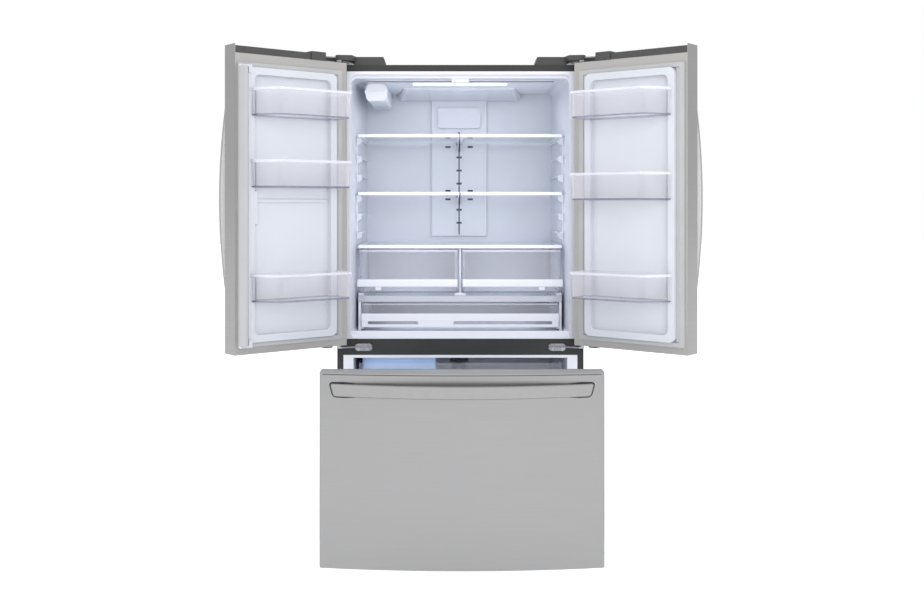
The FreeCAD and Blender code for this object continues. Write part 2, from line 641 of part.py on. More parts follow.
def door_liner():
    """A moulded sheet with a raised hollow rim that carries the bins."""
    low = DOOR_BOTTOM + BAND_BOTTOM
    high = DOOR_TOP - CAP_HEIGHT - BAND_TOP
    free = DOOR_WIDTH - DYKE_END
    sheet_v = (SKIN, SKIN + LINER)
    sheet = leaf((48, DOOR_WIDTH - 4), sheet_v, (low - 8, high + 8))
    rim_z = (low + GASKET_WIDTH, high - GASKET_WIDTH)
    rim = leaf((DYKE_START, free), (-DYKE_HEIGHT, SKIN + LINER), rim_z)
    rim = rounded(rim, "y", 20)
    inner_z = (rim_z[0] + DYKE_WIDTH, rim_z[1] - DYKE_WIDTH)
    recess = leaf((DYKE_START + DYKE_WIDTH, free - DYKE_WIDTH), (-DYKE_HEIGHT - 1, 0), inner_z)
    recess = rounded(recess, "y", 20)
    hollow = leaf(
        (DYKE_START + LINER, free - LINER),
        (LINER - DYKE_HEIGHT, SKIN + LINER + 1),
        (rim_z[0] + LINER, rim_z[1] - LINER),
    )
    tray_wall = leaf(
        (DYKE_START + DYKE_WIDTH - LINER, free - DYKE_WIDTH + LINER),
        (-DYKE_HEIGHT - 1, SKIN + LINER + 2),
        (inner_z[0] - LINER, inner_z[1] + LINER),
    )
    hollow = rounded(hollow, "y", 17).cut(rounded(tray_wall, "y", 22))
    return sheet.fuse(rim).cut(recess).cut(hollow).removeSplitter()


def door_gasket():
    low = DOOR_BOTTOM + BAND_BOTTOM
    high = DOOR_TOP - CAP_HEIGHT - BAND_TOP
    free = DOOR_WIDTH - BAND_FREE
    ring = leaf((BAND_SIDE, free), (-GASKET_DEPTH, 0), (low, high))
    hole = leaf(
        (BAND_SIDE + GASKET_WIDTH, free - GASKET_WIDTH),
        (-GASKET_DEPTH - 1, 1),
        (low + GASKET_WIDTH, high - GASKET_WIDTH),
    )
    return ring.cut(hole)


def bowed_band(half_length, rise, thickness):
    """A band bowed along X in the (x, rise) plane, from its ends at rise 0."""
    def bow(lift):
        middle = FreeCAD.Vector(0, rise + lift, 0)
        ends = [FreeCAD.Vector(side * half_length, lift, 0) for side in (-1, 1)]
        return Part.Arc(ends[0], middle, ends[1]).toShape()
    outer = bow(thickness)
    inner = bow(0)
    ends = []
    for k in (0, 1):
        ends.append(Part.makeLine(outer.Vertexes[k].Point, inner.Vertexes[k].Point))
    face = Part.Face(Part.Wire(Part.__sortEdges__([outer, ends[0], inner, ends[1]])))
    return face


def door_handle():
    """A tall bowed strap whose tapered ends meet the door's front."""
    sag = DOOR_CROWN + HANDLE_RISE - HANDLE_THICKNESS
    half_length = (HANDLE_HIGH - HANDLE_LOW) / 2
    band = bowed_band(half_length, sag, HANDLE_THICKNESS)
    strap = band.extrude(FreeCAD.Vector(0, 0, HANDLE_WIDTH))
    strap.rotate(FreeCAD.Vector(0, 0, 0), FreeCAD.Vector(0, 1, 0), -90)
    strap.rotate(FreeCAD.Vector(0, 0, 0), UP, 180)
    middle_z = (HANDLE_LOW + HANDLE_HIGH) / 2
    edge_x = HALF - DOOR_WIDTH + HANDLE_EDGE
    strap.translate(point(edge_x, DOOR_GAP + DOOR_THICKNESS, middle_z))
    return strap.cut(door_solid(0, (DOOR_BOTTOM, DOOR_TOP)))


def door_bin(low):
    """A clear bin in door places, chamfered towards the free side."""
    free = DOOR_WIDTH - DYKE_END
    corner = DOOR_WIDTH - BIN_CORNER
    reach = BIN_REACH
    step = DYKE_HEIGHT + 0.5
    outline = [
        (DYKE_START + DYKE_WIDTH + 0.5, 0.5),
        (DYKE_START + DYKE_WIDTH + 0.5, step),
        (DYKE_START, step),
        (DYKE_START, reach),
        (corner, reach),
        (free - 9, 34),
        (free - 9, step),
        (free - DYKE_WIDTH - 0.5, step),
        (free - DYKE_WIDTH - 0.5, 0.5),
    ]
    def ring(z):
        places = [point(HALF - u, DOOR_GAP - p, z) for u, p in outline + outline[:1]]
        return Part.Face(Part.makePolygon(places))
    height = BIN_HEIGHT
    body = ring(low).extrude(UP * height)
    room = ring(low + BIN_WALL).makeOffset2D(-BIN_WALL, 2).extrude(UP * height)
    grip = leaf((DYKE_START, corner), (-reach - 4, -reach), (low + height - 9, low + height))
    return body.cut(room).fuse(grip).removeSplitter()


def build_doors():
    notch_z = (DOOR_TOP - CAP_HEIGHT + 3, DOOR_TOP + 5)
    notch = leaf((-1, NOTCH_WIDTH), (-5, 66), notch_z)
    skin = door_skin(notch)
    caps = door_caps(notch)
    gasket = door_gasket()
    handle = door_handle()
    for side, place in (("right", swing), ("left", lambda shape: mirrored(swing(shape)))):
        bins = RIGHT_BINS if side == "right" else LEFT_BINS
        liner = door_liner()
        if side == "left":
            liner = fuse(liner, *flipper_brackets())
        for cap in caps:
            liner = liner.cut(cap)
        save(side + "_door_skin", place(skin))
        save(side + "_door_caps", place(group(*caps)))
        save(side + "_door_gasket", place(gasket))
        save(side + "_door_handle", place(handle))
        save(side + "_door_liner", place(liner))
        save(side + "_door_bins", place(group(*[door_bin(z) for z in bins])))
    save("flipper_bar", mirrored(swing(flipper_bar())))


def flipper_pivot():
    """Across and depth of the bar's own hinge, in the closed door."""
    u = DOOR_WIDTH - FLIPPER_END / 2 + 8
    return HALF - u, DOOR_GAP - (DOOR_GAP + 2 + FLIPPER_THICKNESS / 2)


def flipper_z():
    return MOUTH[0] + 15, MOUTH[1] - 14


def flipper_bar():
    x, d = flipper_pivot()
    z = flipper_z()
    half = FLIPPER_THICKNESS / 2
    bar = block((x + 6, x + 6 - FLIPPER_WIDTH), (d - half, d + half), z)
    bar = rounded(bar, "z", 3)
    for end in ((z[0] - 1, z[0] + 12), (z[1] - 12, z[1] + 1)):
        bar = bar.cut(upright(3 + PIN_CLEARANCE, x, d, end))
    bar.rotate(point(x, d, 0), UP, -90)
    return bar


def flipper_brackets():
    x, d = flipper_pivot()
    z = flipper_z()
    half = FLIPPER_THICKNESS / 2
    out = []
    for base, pin in ((z[0] - 9, (z[0] - 1, z[0] + 11)), (z[1] + 1, (z[1] - 11, z[1] + 1))):
        ear = block((x - 6, HALF - DOOR_WIDTH + DYKE_END + 13), (d - half, d + half), (base, base + 8))
        web = block(
            (HALF - DOOR_WIDTH + DYKE_END, HALF - DOOR_WIDTH + DYKE_END + 13),
            (d - half, -1),
            (min(base, pin[0] - 8), max(base + 8, pin[1] + 8)),
        )
        out += [ear, web, upright(3, x, d, pin)]
    return out


def build_hinges():
    """Top and centre hinges. Each arm ends in a pin on the door's hinge axis."""
    arm_z = (DOOR_TOP - CAP_HEIGHT + 6, DOOR_TOP - CAP_HEIGHT + 11)
    plate = block((HALF - 154, HALF - 34), (-62, -8), (CASE_TOP, CASE_TOP + 4))
    riser = block((HALF - 58, HALF - 34), (-62, -8), (CASE_TOP + 4, arm_z[1]))
    outline = [(HALF - 58, -8), (HALF - 34, -40)]
    outline += [(PIVOT_X + 11, PIVOT_D - 4), (PIVOT_X + 8, PIVOT_D + 10)]
    outline += [(PIVOT_X - 8, PIVOT_D + 10), (PIVOT_X - 13, PIVOT_D - 2)]
    arm = prism(outline, arm_z)
    pin = upright(PIN_RADIUS, PIVOT_X, PIVOT_D, (CASE_TOP - 24, arm_z[1]))
    top = fuse(plate, riser, arm, pin)

    face_x = (HALF - 129, HALF - 66)
    face = rounded(block(face_x, (0, 3), (DRAWER_TOP - 4.5, DOOR_BOTTOM - 1)), "y", 12)
    shelf_z = (DOOR_BOTTOM - 13, DOOR_BOTTOM - 8)
    outline = [(face_x[0], 3), (face_x[1], 3)]
    outline += [(PIVOT_X + 10, PIVOT_D - 8), (PIVOT_X + 10, PIVOT_D + 9)]
    outline += [(PIVOT_X - 10, PIVOT_D + 9)]
    shelf = prism(outline, shelf_z)
    low_pin = upright(PIN_RADIUS, PIVOT_X, PIVOT_D, (shelf_z[0], DOOR_BOTTOM + 26))
    centre = fuse(face, shelf, low_pin)
    save("door_hinges", group(top, mirrored(top), centre, mirrored(centre)))

    screws = []
    for x in (face_x[0] + 16, face_x[1] - 13):
        screws.append(forward(5, x, (3, 6), DRAWER_TOP + 2.5))
    for x in (HALF - 134, HALF - 84):
        for d in (-20, -50):
            screws.append(upright(5.5, x, d, (CASE_TOP + 4, CASE_TOP + 7)))
    save("hinge_screws", group(*screws, *[mirrored(screw) for screw in screws]))

    cover = hinge_cover(arm_z[1])
    save("hinge_covers", pair(cover))


def hinge_cover(arm_top):
    """A hollow cover over the top hinge, with a lobe over the pin and a sloping inner end."""
    low = CASE_TOP
    high = CASE_TOP + 30
    inner = HALF - 180
    end = HALF - 24
    outline = [(inner, low), (inner + 10, high), (end, high), (end, low)]
    wire = Part.makePolygon([point(x, -4, z) for x, z in outline + outline[:1]])
    outer = Part.Face(wire).extrude(FreeCAD.Vector(0, 106, 0))
    room = block((inner + 14, end - 3), (-70, -7), (low - 1, high - 2.5))
    mouth = block((end - 38, end + 1), (-44, -3), (low - 1, arm_top + 1))
    outline = [(inner + 108, -6), (end, -6), (PIVOT_X + 10, PIVOT_D - 11)]
    outline += [(PIVOT_X, PIVOT_D + 15), (inner + 122, PIVOT_D + 8)]
    lobe_z = (arm_top + 0.5, high)
    lobe = fuse(prism(outline, lobe_z), upright(15, PIVOT_X, PIVOT_D, lobe_z))
    return fuse(outer.cut(room).cut(mouth), lobe)


# ---- freezer drawer -----------------------------------------------------------------
def pulled(shape, share=1.0):
    moved = shape.copy()
    moved.translate(FreeCAD.Vector(0, -DRAWER_OPEN * share, 0))
    return moved


def drawer_solid(inset, z):
    half_width = HALF - inset
    return crowned(half_width, z, DOOR_THICKNESS - inset, DRAWER_CROWN, DOOR_GAP)


def build_drawer():
    z = (DRAWER_BOTTOM, DRAWER_TOP)
    skin = drawer_solid(0, z).cut(drawer_solid(SKIN, (z[0] - 1, z[1] + 1)))
    inside = (SKIN - HALF, HALF - SKIN)
    skin = skin.cut(block(inside, (DOOR_GAP - 1, DOOR_GAP + SKIN + 1), (z[0] - 1, z[1] + 1)))
    edge = block(inside, (DOOR_GAP, DOOR_GAP + SKIN), (z[0], z[1]))
    hole_x = HALF - BAND_SIDE
    hole_z = (z[0] + BAND_BOTTOM, z[1] - BAND_BOTTOM)
    hole = block((-hole_x, hole_x), (DOOR_GAP - 1, DOOR_GAP + SKIN + 1), hole_z)
    save("freezer_front_skin", pulled(skin.fuse(edge.cut(hole)).removeSplitter()))

    cap_room = block((-HALF, HALF), (DOOR_GAP - 1, DOOR_GAP + SKIN), (0, 2000))
    caps = [drawer_solid(SKIN, (z[1] - 8, z[1] - 1)), drawer_solid(SKIN, (z[0] + 1, z[0] + 8))]
    save("freezer_front_caps", pulled(group(*[cap.cut(cap_room) for cap in caps])))

    sheet = block(
        (-hole_x - 6, hole_x + 6),
        (DOOR_GAP + SKIN, DOOR_GAP + SKIN + LINER),
        (hole_z[0] - 8, hole_z[1] + 8),
    )
    raised_half = hole_x - GASKET_WIDTH - 4
    raised_z = (FREEZER_FLOOR + 6, hole_z[1] - GASKET_WIDTH - 4)
    raised_d = (DOOR_GAP - DRAWER_PANEL, DOOR_GAP + SKIN + LINER)
    raised_half = min(raised_half, FREEZER_HALF - 8)
    raised = rounded(block((-raised_half, raised_half), raised_d, raised_z), "y", 16)
    hollow = block(
        (LINER - raised_half, raised_half - LINER),
        (raised_d[0] + LINER, raised_d[1] + 1),
        (raised_z[0] + LINER, raised_z[1] - LINER),
    )
    inner_panel = sheet.fuse(raised).cut(rounded(hollow, "y", 14)).removeSplitter()
    save("freezer_front_liner", pulled(inner_panel))

    gasket_d = (DOOR_GAP - GASKET_DEPTH, DOOR_GAP)
    inner_x = hole_x - GASKET_WIDTH
    inner_z = (hole_z[0] + GASKET_WIDTH, hole_z[1] - GASKET_WIDTH)
    ring = frame_ring((-hole_x, hole_x, *hole_z), (-inner_x, inner_x, *inner_z), gasket_d)
    save("freezer_front_gasket", pulled(ring))

    sag = DRAWER_CROWN + DRAWER_HANDLE_RISE - HANDLE_THICKNESS
    band = bowed_band(DRAWER_HANDLE_HALF + 14, sag, HANDLE_THICKNESS)
    strap = band.extrude(FreeCAD.Vector(0, 0, HANDLE_WIDTH))
    strap.rotate(FreeCAD.Vector(0, 0, 0), FreeCAD.Vector(1, 0, 0), 180)
    strap.translate(point(0, DOOR_GAP + DOOR_THICKNESS, DRAWER_HANDLE_TOP))
    strap = strap.cut(drawer_solid(0, z))
    save("freezer_front_handle", pulled(strap))


def build_drawer_inside():
    rail_d = (-20 - RAIL_LENGTH, -20)
    outer = FREEZER_HALF
    fixed = block((outer - RAIL_SHEET, outer), rail_d, RAIL)
    edge = outer - RAIL_SHEET - RAIL_PLAY
    middle_z = (RAIL[0] + 3, RAIL[1] - 3)
    middle = block((edge - RAIL_SHEET, edge), (rail_d[0], -22), middle_z)
    edge -= RAIL_SHEET + RAIL_PLAY
    inner_z = (RAIL[0] + 6, RAIL[1] - 6)
    front_d = DOOR_GAP - DRAWER_PANEL
    inner = block((edge - RAIL_SHEET, edge), (rail_d[0], front_d), inner_z)
    save("rails_fixed", pair(fixed))
    save("rails_middle", pulled(pair(middle), 0.5))
    save("rails_drawer", pulled(pair(inner)))

    basket_half = edge - RAIL_SHEET
    basket_z = (FREEZER_FLOOR + 12, RAIL[1] + 130)
    step = CASE_DEPTH - MACHINE_DEPTH - 40
    basket_d = (12 - step, front_d)
    basket = tray((-basket_half, basket_half), basket_d, basket_z, BIN_WALL, BIN_WALL)
    save("freezer_basket", pulled(basket))

    upper = tray((-TRAY_HALF, TRAY_HALF), (TRAY_REAR, -60), TRAY, BIN_WALL, BIN_WALL)
    save("freezer_tray", upper)
    ice_z = (TRAY[0] + BIN_WALL, TRAY[1] + 18)
    ice_x = (12 - TRAY_HALF, -90)
    save("ice_bin", tray(ice_x, (TRAY_REAR + 40, -72), ice_z, BIN_WALL, BIN_WALL))


build_case()
build_base()
build_interior(*build_machine())
build_shelves()
build_crispers()
build_hinges()
build_doors()
build_drawer()
build_drawer_inside()
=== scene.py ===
import math

import bmesh
import bpy
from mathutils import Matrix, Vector


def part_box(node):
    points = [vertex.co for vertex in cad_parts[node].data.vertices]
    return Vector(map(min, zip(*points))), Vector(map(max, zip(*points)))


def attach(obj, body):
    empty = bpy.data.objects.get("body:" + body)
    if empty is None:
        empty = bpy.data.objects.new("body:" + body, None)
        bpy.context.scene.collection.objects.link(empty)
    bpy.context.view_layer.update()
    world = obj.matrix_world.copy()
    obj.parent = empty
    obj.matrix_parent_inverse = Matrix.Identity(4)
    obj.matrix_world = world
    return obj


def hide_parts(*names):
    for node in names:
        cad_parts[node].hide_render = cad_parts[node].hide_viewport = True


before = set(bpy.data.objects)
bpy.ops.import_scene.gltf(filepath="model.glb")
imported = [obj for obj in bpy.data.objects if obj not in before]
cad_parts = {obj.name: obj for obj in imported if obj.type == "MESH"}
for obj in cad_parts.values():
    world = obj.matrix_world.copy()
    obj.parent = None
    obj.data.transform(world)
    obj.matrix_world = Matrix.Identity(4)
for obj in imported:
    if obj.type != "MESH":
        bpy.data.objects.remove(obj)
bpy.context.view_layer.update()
MM = 0.001
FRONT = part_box("cabinet_shell")[0].y  # the front plane of the case
SIDES = {"left": -1, "right": 1}
SHARP = math.radians(35)  # edges steeper than this stay sharp, and are the ones bevelled


def place(x, d, z):
    """Millimetres across, forward of the case front and up, as a point of the frame."""
    return Vector((x * MM, FRONT - d * MM, z * MM))


# Materials


class Finish:
    """A node material with one Principled shader, fed by noise in object coordinates."""

    def __init__(self, name, roughness=0.5, metallic=0.0, specular=0.5, coat=0.0):
        self.material = bpy.data.materials.new(name)
        self.material.use_nodes = True
        self.tree = self.material.node_tree
        self.shader = self.tree.nodes["Principled BSDF"]
        self.shader.inputs["Metallic"].default_value = metallic
        self.shader.inputs["Specular IOR Level"].default_value = specular
        self.shader.inputs["Coat Weight"].default_value = coat
        self.roughness = roughness
        self.coords = self.tree.nodes.new("ShaderNodeTexCoord")

    def add(self, kind, **inputs):
        node = self.tree.nodes.new(kind)
        for name, value in inputs.items():
            node.inputs[name.replace("_", " ")].default_value = value
        return node

    def link(self, source, target):
        self.tree.links.new(source, target)

    def noise(self, scale, detail=3.0):
        """Noise with its own scale along X, Y and Z, in cells per metre."""
        mapping = self.add("ShaderNodeMapping", Scale=scale)
        self.link(self.coords.outputs["Object"], mapping.inputs["Vector"])
        noise = self.add("ShaderNodeTexNoise", Scale=1.0, Detail=detail)
        self.link(mapping.outputs["Vector"], noise.inputs["Vector"])
        return noise.outputs["Fac"]

    def colour(self, fac, low, high):
        """The base colour goes from low to high with fac."""
        ramp = self.add("ShaderNodeValToRGB")
        ramp.color_ramp.elements[0].position = 0.3
        ramp.color_ramp.elements[0].color = (*low, 1)
        ramp.color_ramp.elements[1].position = 0.7
        ramp.color_ramp.elements[1].color = (*high, 1)
        self.link(fac, ramp.inputs["Fac"])
        self.link(ramp.outputs["Color"], self.shader.inputs["Base Color"])

    def gloss(self, fac, spread):
        span = self.add("ShaderNodeMapRange")
        span.inputs["From Min"].default_value = 0.3
        span.inputs["From Max"].default_value = 0.7
        span.inputs["To Min"].default_value = self.roughness - spread
        span.inputs["To Max"].default_value = self.roughness + spread
        self.link(fac, span.inputs["Value"])
        self.link(span.outputs["Result"], self.shader.inputs["Roughness"])

    def bump(self, fac, strength, depth):
        bump = self.add("ShaderNodeBump", Strength=strength, Distance=depth)
        self.link(fac, bump.inputs["Height"])
        self.link(bump.outputs["Normal"], self.shader.inputs["Normal"])


def shade(colour, factor):
    return tuple(min(1.0, c * factor) for c in colour)


def brushed(name, colour, roughness=0.34, metallic=1.0, grain=(3, 3, 1400), vary=0.03, dent=0.1):
    """Steel brushed along the horizontal, with broad soft patches in the sheen."""
    finish = Finish(name, roughness, metallic)
    lines = finish.noise(grain, 5.0)
    finish.colour(lines, shade(colour, 1 - vary), shade(colour, 1 + vary))
    finish.gloss(finish.noise((5, 5, 400), 2.0), 0.05)
    finish.bump(lines, dent, 0.0002)
    finish.shader.inputs["Anisotropic"].default_value = 0.35
    return finish.material


def moulded(name, colour, roughness=0.4, vary=0.02, grain=700.0, depth=0.00008, coat=0.0):
    """Moulded plastic or rubber with a fine texture."""
    finish = Finish(name, roughness, coat=coat)
    finish.colour(finish.noise((9, 9, 9), 2.0), shade(colour, 1 - vary), shade(colour, 1 + vary))
    fine = finish.noise((grain, grain, grain), 2.0)
    finish.gloss(fine, 0.05)
    finish.bump(fine, 0.12, depth)
    return finish.material


def painted(name, colour, roughness=0.45, grain=320.0):
    """Painted sheet steel with orange peel."""
    finish = Finish(name, roughness, specular=0.25)
    finish.colour(finish.noise((6, 6, 6), 3.0), shade(colour, 0.96), shade(colour, 1.04))
    peel = finish.noise((grain, grain, grain), 1.0)
    finish.gloss(peel, 0.06)
    finish.bump(peel, 0.15, 0.0002)
    return finish.material


def plated(name, colour, roughness=0.3, grain=180.0):
    """Plated or bare metal with a fine crystalline mottle."""
    finish = Finish(name, roughness, 1.0)
    mottle = finish.noise((grain, grain, grain), 4.0)
    finish.colour(mottle, shade(colour, 0.96), shade(colour, 1.03))
    finish.gloss(mottle, 0.04)
    finish.bump(mottle, 0.02, 0.0002)
    return finish.material


def clear(name, colour, face, edge, roughness=0.08):
    """Clear moulded plastic or glass: faint across a face, and tinted where seen edge on."""
    finish = Finish(name, roughness)
    finish.colour(finish.noise((14, 14, 14), 2.0), shade(colour, 0.97), shade(colour, 1.02))
    finish.gloss(finish.noise((120, 120, 120), 2.0), 0.03)
    weight = finish.add("ShaderNodeLayerWeight", Blend=0.35)
    span = finish.add("ShaderNodeMapRange")
    span.inputs["To Min"].default_value = face
    span.inputs["To Max"].default_value = edge
    finish.link(weight.outputs["Facing"], span.inputs["Value"])
    finish.link(span.outputs["Result"], finish.shader.inputs["Alpha"])
    return finish.material


def lit(name, colour, strength):
    """A milky lens with light behind it."""
    finish = Finish(name, 0.3)
    finish.colour(finish.noise((40, 40, 40), 2.0), shade(colour, 0.97), colour)
    finish.gloss(finish.noise((300, 300, 300), 2.0), 0.05)
    finish.shader.inputs["Emission Color"].default_value = (*colour, 1)
    finish.shader.inputs["Emission Strength"].default_value = strength
    return finish.material


STEEL = (0.318, 0.318, 0.322)
MATERIALS = {
    "stainless": brushed("stainless", STEEL),
    "band_steel": brushed("band_steel", (0.45, 0.442, 0.43), 0.42, 0.6),
    "handle_metal": plated("handle_metal", (0.35, 0.35, 0.353), 0.42, 40.0),
    # for the backs of the handles: a near-white plastic on what is metal, a painted reflection
    # that makes the backs lighter than their fronts
    "handle_back_painted_reflection": moulded("handle_back_painted_reflection", (0.93, 0.93, 0.94), 0.3, 0.01, 200.0),
    "case_paint": painted("case_paint", (0.042, 0.043, 0.044), 0.5),
    "dark_trim": moulded("dark_trim", (0.052, 0.052, 0.053), 0.45),
    "cap_grey": moulded("cap_grey", (0.33, 0.33, 0.33), 0.4),
    "door_cap": moulded("door_cap", (0.055, 0.055, 0.055), 0.45),
    "foam": moulded("foam", (0.78, 0.70, 0.42), 0.85, 0.08, 160.0, 0.001),
    "liner_white": moulded("liner_white", (0.77, 0.79, 0.86), 0.33, 0.012, 500.0, 0.00006, 0.2),
    "trim_white": moulded("trim_white", (0.79, 0.81, 0.875), 0.32, 0.012, 600.0),
    "gasket_rubber": moulded("gasket_rubber", (0.44, 0.445, 0.455), 0.6, 0.03),
    "clear_plastic": clear("clear_plastic", (0.86, 0.86, 0.95), 0.045, 0.5),
    "tray_plastic": clear("tray_plastic", (0.86, 0.88, 0.95), 0.09, 0.60, 0.12),
    "violet_edge": clear("violet_edge", (0.20, 0.19, 0.30), 0.5, 0.9, 0.15),
    "clear_rim": clear("clear_rim", (0.86, 0.87, 0.95), 0.45, 0.90, 0.12),
    "lid_plastic": clear("lid_plastic", (0.74, 0.75, 0.84), 0.62, 0.90, 0.15),
    "lug_plastic": clear("lug_plastic", (0.80, 0.83, 0.92), 0.65, 0.92, 0.2),
    "frosty_blue": moulded("frosty_blue", (0.42, 0.58, 0.82), 0.3, 0.03, 300.0),
    # the door liners' white plastic: a darker copy of liner_white, painted shade on the door
    # liners
    "door_liner_painted_shade": moulded("door_liner_painted_shade", (0.605, 0.63, 0.685), 0.33, 0.012, 500.0, 0.00006, 0.2),
    # painted shade: a dark blue standing in for the shade inside deep slots and gaps
    "painted_gap_shade": moulded("painted_gap_shade", (0.075, 0.09, 0.15), 0.5),
    "shelf_glass": clear("shelf_glass", (0.72, 0.84, 0.86), 0.14, 0.80, 0.04),
    "zinc_steel": plated("zinc_steel", (0.50, 0.51, 0.53)),
    "screw_steel": plated("screw_steel", (0.78, 0.79, 0.80), 0.22),
    "light_lens": lit("light_lens", (1.0, 0.99, 0.97), 2.5),
    "flipper_grey": moulded("flipper_grey", (0.42, 0.43, 0.45), 0.35),
    "black_metal": painted("black_metal", (0.022, 0.022, 0.024), 0.5),
    "coil_aluminium": plated("coil_aluminium", (0.72, 0.73, 0.74), 0.35),
    "copper_coil": plated("copper_coil", (0.70, 0.38, 0.22), 0.34),
    "fan_plastic": moulded("fan_plastic", (0.03, 0.03, 0.033), 0.5),
}
NODE_FINISH = {
    "air_duct_cover": "trim_white", "base_frame": "black_metal", "base_grille": "dark_trim",
    "cabinet_shell": "case_paint", "ceiling_panel": "trim_white", "compressor": "black_metal",
    "condenser_coil": "copper_coil", "condenser_fan": "fan_plastic", "crisper_frame": "trim_white",
    "crisper_left": "tray_plastic", "crisper_left_front": "trim_white",
    "crisper_right": "tray_plastic", "crisper_right_front": "trim_white",
    "door_hinges": "zinc_steel", "evaporator": "coil_aluminium", "evaporator_fan": "fan_plastic",
    "filter_cartridge": "trim_white", "filter_housing": "trim_white",
    "flipper_bar": "flipper_grey", "freezer_basket": "trim_white",
    "freezer_front_caps": "cap_grey", "freezer_front_gasket": "gasket_rubber",
    "freezer_front_handle": "handle_metal", "freezer_front_liner": "liner_white",
    "freezer_front_skin": "stainless", "freezer_liner": "liner_white",
    "freezer_tray": "tray_plastic", "fridge_liner": "liner_white", "front_rails": "case_paint",
    "hinge_covers": "dark_trim", "hinge_screws": "screw_steel",
    "humidity_slider_left": "trim_white", "humidity_slider_right": "trim_white",
    "ice_bin": "frosty_blue", "insulation_foam": "foam", "leveling_leg_left": "dark_trim",
    "leveling_leg_right": "dark_trim", "light_lens": "light_lens",
    "pantry_drawer": "tray_plastic", "pantry_drawer_front": "trim_white",
    "rails_drawer": "zinc_steel", "rails_fixed": "zinc_steel", "rails_middle": "zinc_steel",
    "rear_covers": "case_paint", "rear_rollers": "dark_trim", "shelf_glass": "shelf_glass",
    "shelf_lower": "trim_white", "shelf_upper": "trim_white",
}
for side in SIDES:
    NODE_FINISH[side + "_door_bins"] = "clear_plastic"
    NODE_FINISH[side + "_door_caps"] = "door_cap"
    NODE_FINISH[side + "_door_gasket"] = "gasket_rubber"
    NODE_FINISH[side + "_door_handle"] = "handle_metal"
    NODE_FINISH[side + "_door_liner"] = "door_liner_painted_shade"
    NODE_FINISH[side + "_door_skin"] = "stainless"
BEVELS = {  # millimetres; nodes that a piece replaces need none
    "air_duct_cover": 0.8, "ceiling_panel": 2.0, "shelf_upper": 2.0, "shelf_lower": 2.0,
    "crisper_left_front": 2.0, "crisper_right_front": 2.0, "freezer_basket": 1.0,
    "freezer_tray": 1.0, "ice_bin": 1.0, "hinge_covers": 2.0, "front_rails": 0.8,
    "filter_cartridge": 2.5, "filter_housing": 2.0, "compressor": 2.0, "left_door_caps": 1.2,
    "right_door_caps": 1.2, "freezer_front_caps": 1.0, "flipper_bar": 1.5,
    "fridge_liner": 2.0, "left_door_liner": 3.0, "right_door_liner": 3.0, "base_grille": 1.0,
}


def soften(obj, width, segments=2):
    """Rounds an object's sharp edges by width millimetres."""
    bevel = obj.modifiers.new("soft_edges", "BEVEL")
    bevel.width = width * MM
    bevel.segments = segments
    bevel.limit_method = "ANGLE"
    bevel.angle_limit = SHARP
    bevel.harden_normals = True


for name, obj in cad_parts.items():
    obj.data.materials.clear()
    obj.data.materials.append(MATERIALS[NODE_FINISH[name]])
    if name in BEVELS:
        soften(obj, BEVELS[name])


# Making pieces


class Form:
    """Points and faces in millimetres, put into the frame by the map where(a, b, c)."""

    def __init__(self, where=place):
        self.where = where
        self.points = []
        self.faces = []
        self.slots = []
        self.slot = 0

    def ring(self, points):
        start = len(self.points)
        self.points += [self.where(*p) for p in points]
        return list(range(start, start + len(points)))

    def face(self, indices):
        self.faces.append(list(indices))
        self.slots.append(self.slot)

    def skin(self, one, two):
        count = len(one)
        for i in range(count):
            j = (i + 1) % count
            self.face((one[i], one[j], two[j], two[i]))

    def stack(self, rings):
        """A solid through rings of as many points each."""
        placed = [self.ring(r) for r in rings]
        for one, two in zip(placed, placed[1:]):
            self.skin(one, two)
        self.face(placed[0][::-1])
        self.face(placed[-1])

    def box(self, a, b, c):
        self.stack([[(p, q, level) for p, q in rectangle(a, b)] for level in c])


ARC_STEPS = 6


def rectangle(a, b):
    return [(a[0], b[0]), (a[1], b[0]), (a[1], b[1]), (a[0], b[1])]


def round_corners(points, radii):
    """A closed outline with each corner turned into an arc of its own radius."""
    out = []
    count = len(points)
    for i, (x, y) in enumerate(points):
        before = Vector(points[i - 1]) - Vector((x, y))
        after = Vector(points[(i + 1) % count]) - Vector((x, y))
        half = before.angle(after) / 2
        reach = min(radii[i] / math.tan(half), before.length * 0.49, after.length * 0.49)
        if radii[i] <= 0 or reach < 1e-6:
            out += [(x, y)] * (ARC_STEPS + 1)
            continue
        real = reach * math.tan(half)
        middle = (before.normalized() + after.normalized()).normalized()
        centre = Vector((x, y)) + middle * (real / math.sin(half))
        start = Vector((x, y)) + before.normalized() * reach - centre
        end = Vector((x, y)) + after.normalized() * reach - centre
        turn = start.angle_signed(end)
        for step in range(ARC_STEPS + 1):
            angle = -turn * step / ARC_STEPS
            cos, sin = math.cos(angle), math.sin(angle)
            out.append((centre.x + start.x * cos - start.y * sin,
                        centre.y + start.x * sin + start.y * cos))
    return out


def inset(points, by):
    """A closed outline moved inward by so much; negative moves it outward. Points that lie
    on one another, as at an unrounded corner, move together."""
    area = sum(a[0] * b[1] - b[0] * a[1] for a, b in zip(points, points[1:] + points[:1]))
    sign = 1 if area > 0 else -1
    fresh = [(Vector(p) - Vector(points[i - 1])).length > 1e-5 for i, p in enumerate(points)]
    clean = [p for p, new in zip(points, fresh) if new]
    normals = []
    for a, b in zip(clean, clean[1:] + clean[:1]):
        run = (Vector(b) - Vector(a)).normalized()
        normals.append(Vector((-run.y, run.x)) * sign)
    moved = []
    for i, p in enumerate(clean):
        one, two = normals[i - 1], normals[i]
        mitre = (one + two) / max(0.3, 1 + one.dot(two))
        moved.append((p[0] + mitre.x * by, p[1] + mitre.y * by))
    out = []
    i = -1
    for new in fresh:
        i += new
        out.append(moved[max(i, 0)])
    return out


